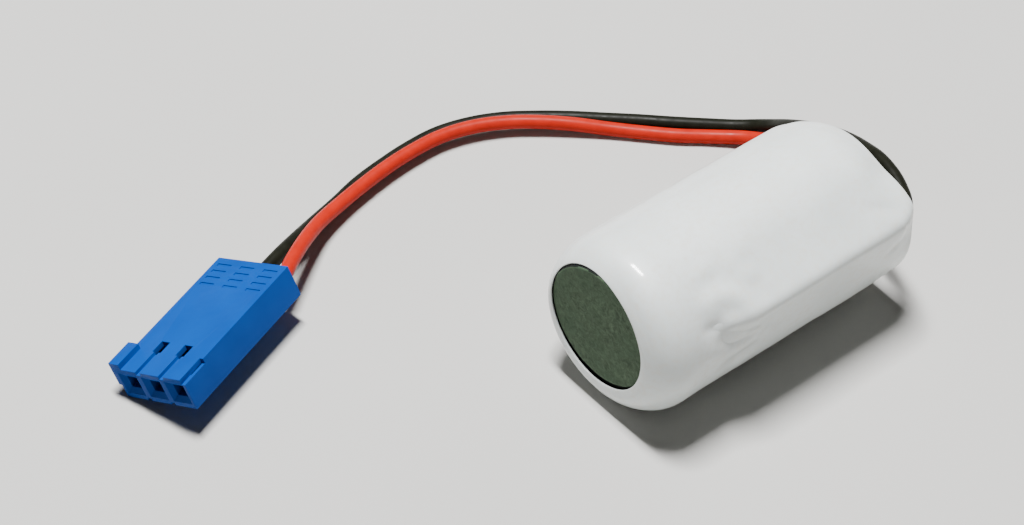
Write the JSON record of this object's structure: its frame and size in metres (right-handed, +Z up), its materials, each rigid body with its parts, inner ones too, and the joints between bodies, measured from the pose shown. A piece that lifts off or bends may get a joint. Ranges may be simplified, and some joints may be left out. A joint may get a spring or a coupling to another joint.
{
  "type": "cylindrical battery cell",
  "caption": "Short lithium cell in a white shrink sleeve, lying on its side, with a black and a red lead running to a blue three-way plug.",
  "frame": {"origin": "middle of the cell's footprint on the surface it lies on; the leads and the plug lie to one side", "axes": "+Z up, the cell's axis along X, its green negative end towards -X, the leads leaving at +X"},
  "size_m": [0.0609, 0.0404, 0.0149],
  "materials": {
    "can_steel": "nickel-plated drawn steel",
    "inner_insulator": "glass-fibre disc",
    "lithium_sheet": "soft rolled metal sheet",
    "separator_fibre": "non-woven glass fibre",
    "porous_carbon": "pressed porous carbon",
    "collector_nickel": "drawn nickel",
    "seal_glass": "fused sealing glass",
    "washer_plastic": "moulded washer",
    "cap_steel": "nickel-plated pressing",
    "jacket_film": "inner shrink film",
    "nickel_strip": "rolled nickel strip",
    "insulating_tape": "polyimide tape",
    "solder": "tin solder fillet",
    "fibre_board": "dark green mottled fibre",
    "white_sleeve": "white glossy shrink film",
    "black_insulation": "soft extruded insulation",
    "copper_strands": "tinned copper strands",
    "red_insulation": "soft extruded insulation",
    "blue_plastic": "moulded blue plastic",
    "contact_plating": "plated contact spring"
  },
  "bodies": {
    "root": {"can": "can_steel", "bottom_insulator": "inner_insulator", "lithium_anode": "lithium_sheet", "separator": "separator_fibre", "carbon_cathode": "porous_carbon", "current_collector": "collector_nickel", "top_insulator": "inner_insulator", "lid": "can_steel", "glass_seal": "seal_glass", "positive_pin": "collector_nickel", "cap_washer": "washer_plastic", "positive_cap": "cap_steel", "cell_jacket": "jacket_film", "negative_strip": "nickel_strip", "strip_insulator": "insulating_tape", "negative_solder": "solder", "negative_end_disc": "fibre_board", "positive_tab": "nickel_strip", "positive_solder": "solder", "positive_end_disc": "fibre_board", "outer_sleeve": "white_sleeve", "black_lead_run": "black_insulation", "black_conductor": "copper_strands", "red_conductor": "copper_strands", "black_lead": "black_insulation", "red_lead": "red_insulation", "connector_housing": "blue_plastic", "black_contact": "contact_plating", "red_contact": "contact_plating", "black_crimp_strands": "copper_strands", "red_crimp_strands": "copper_strands"}
  },
  "joints": []
}
